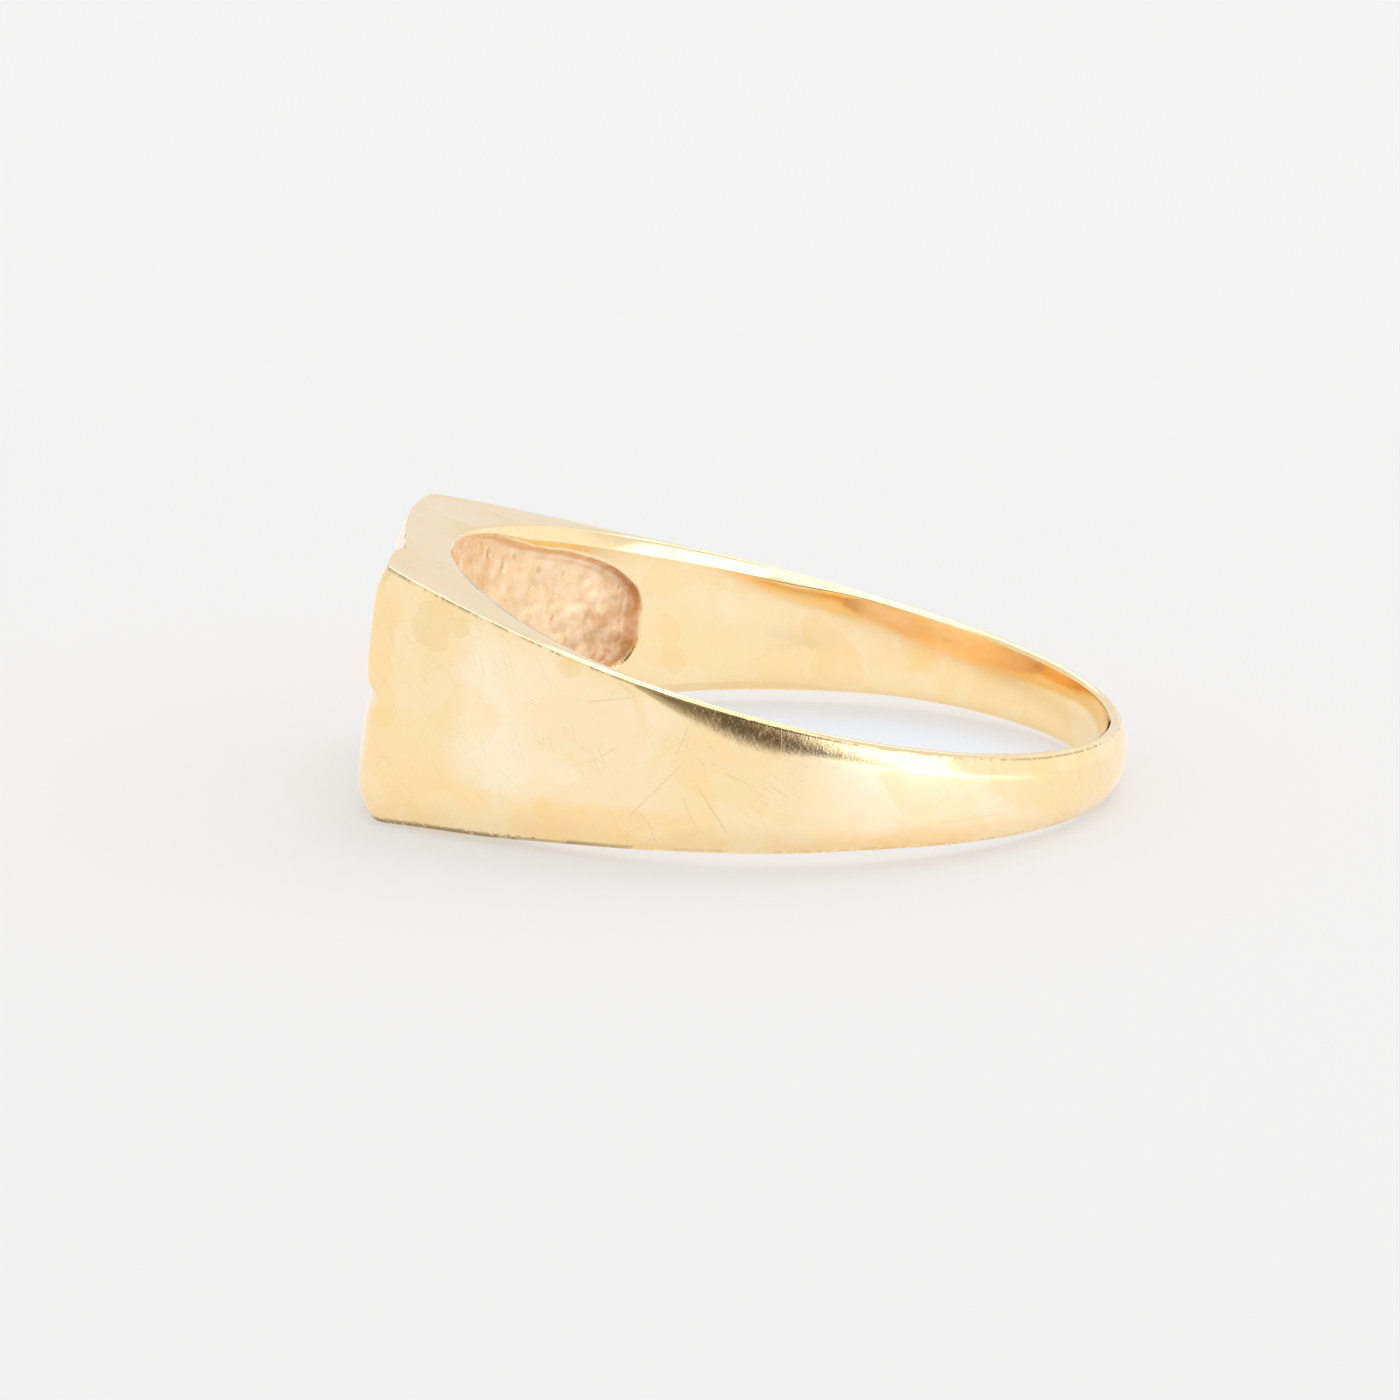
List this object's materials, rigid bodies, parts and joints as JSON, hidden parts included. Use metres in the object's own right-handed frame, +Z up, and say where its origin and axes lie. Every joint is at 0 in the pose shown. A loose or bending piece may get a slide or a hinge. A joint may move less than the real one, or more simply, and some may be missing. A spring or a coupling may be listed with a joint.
{
  "type": "signet ring",
  "caption": "Yellow gold signet ring with a pillowed quartered face, tapering shoulders, a hollow behind the face and a thin shank, lying on its side.",
  "frame": {"origin": "on the surface the ring lies on, under the centre of its bounding box", "axes": "+X from the face of the head towards the palm side of the shank, +Y across the finger hole, +Z up; the finger hole's axis leans 7 degrees from +Z towards +X"},
  "size_m": [0.0212, 0.0196, 0.007],
  "materials": {
    "polished_gold": "polished, lightly scratched yellow gold",
    "gold_solder": "polished gold solder, filed flush"
  },
  "bodies": {
    "root": {"signet_head": "polished_gold", "shank": "polished_gold", "solder_seam_left": "gold_solder", "solder_seam_right": "gold_solder"}
  },
  "joints": []
}
